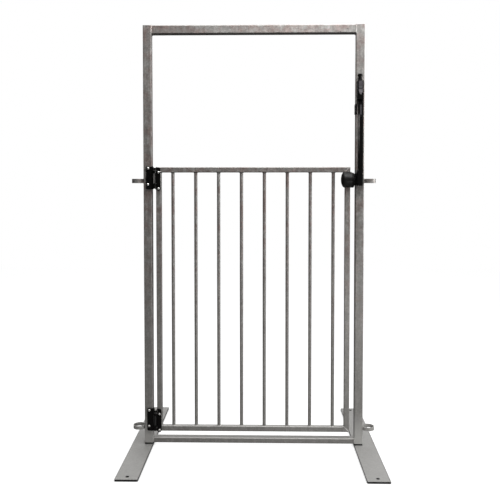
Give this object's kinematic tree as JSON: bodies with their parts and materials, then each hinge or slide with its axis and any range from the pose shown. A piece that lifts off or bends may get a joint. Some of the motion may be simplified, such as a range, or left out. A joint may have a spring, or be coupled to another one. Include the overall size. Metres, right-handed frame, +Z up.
{
  "type": "pool gate",
  "caption": "Free-standing steel pool gate: a self-closing barred leaf with a top-pull latch in a tall portal frame on flat feet.",
  "frame": {"origin": "on the floor, midway between the outer edges and the ends of the two feet", "axes": "+X from the hinge post to the latch post, -Y the side that the leaf opens to, +Z up"},
  "size_m": [1.17, 0.9, 2.0155],
  "materials": {
    "galvanised_steel": "hot-dip galvanised, dull, mottled",
    "foot_steel": "galvanised flat bar, dull",
    "spigot_steel": "galvanised, dark in the gap under the post",
    "hinge_polymer": "black moulded, satin",
    "latch_polymer": "black moulded, satin",
    "knob_polymer": "black moulded, satin",
    "panel_polymer": "dark grey moulded",
    "lock_steel": "dark turned steel",
    "bright_steel": "bright zinc plated"
  },
  "bodies": {
    "frame": {"left_foot": "foot_steel", "right_foot": "foot_steel", "left_spigot": "spigot_steel", "right_spigot": "spigot_steel", "left_post": "galvanised_steel", "right_post": "galvanised_steel", "left_post_cap": "galvanised_steel", "right_post_cap": "galvanised_steel", "top_bar": "galvanised_steel", "threshold_bar": "galvanised_steel", "upper_left_ring": "galvanised_steel", "upper_right_ring": "galvanised_steel", "lower_left_ring": "galvanised_steel", "lower_right_ring": "galvanised_steel", "upper_hinge_post_plate": "hinge_polymer", "upper_hinge_pin": "bright_steel", "lower_hinge_post_plate": "hinge_polymer", "lower_hinge_pin": "bright_steel", "latch_body": "latch_polymer", "latch_riser": "latch_polymer", "riser_bracket": "latch_polymer", "latch_head": "latch_polymer", "head_panel": "panel_polymer", "key_cylinder": "lock_steel"},
    "leaf": {"hinge_stile": "galvanised_steel", "latch_stile": "galvanised_steel", "leaf_top_rail": "galvanised_steel", "leaf_bottom_rail": "galvanised_steel", "pale_1": "galvanised_steel", "pale_2": "galvanised_steel", "pale_3": "galvanised_steel", "pale_4": "galvanised_steel", "pale_5": "galvanised_steel", "pale_6": "galvanised_steel", "pale_7": "galvanised_steel", "pale_8": "galvanised_steel", "upper_hinge_leaf_plate": "hinge_polymer", "lower_hinge_leaf_plate": "hinge_polymer", "striker_drum": "latch_polymer", "striker_nose": "latch_polymer"},
    "knob": {"lift_knob": "knob_polymer"}
  },
  "joints": [
    {"name": "gate_swing", "type": "hinge", "parent": "frame", "child": "leaf", "pos_m": [-0.471, -0.08, 0.7], "axis": [0, 0, -1], "range_deg": [0, 150], "stiffness_Nm_per_rad": 1.5, "springref_deg": -57.3},
    {"name": "knob_lift", "type": "slide", "parent": "frame", "child": "knob", "axis": [0, 0, 1], "range_m": [0, 0.012], "stiffness_N_per_m": 300, "springref_m": -0.01}
  ]
}
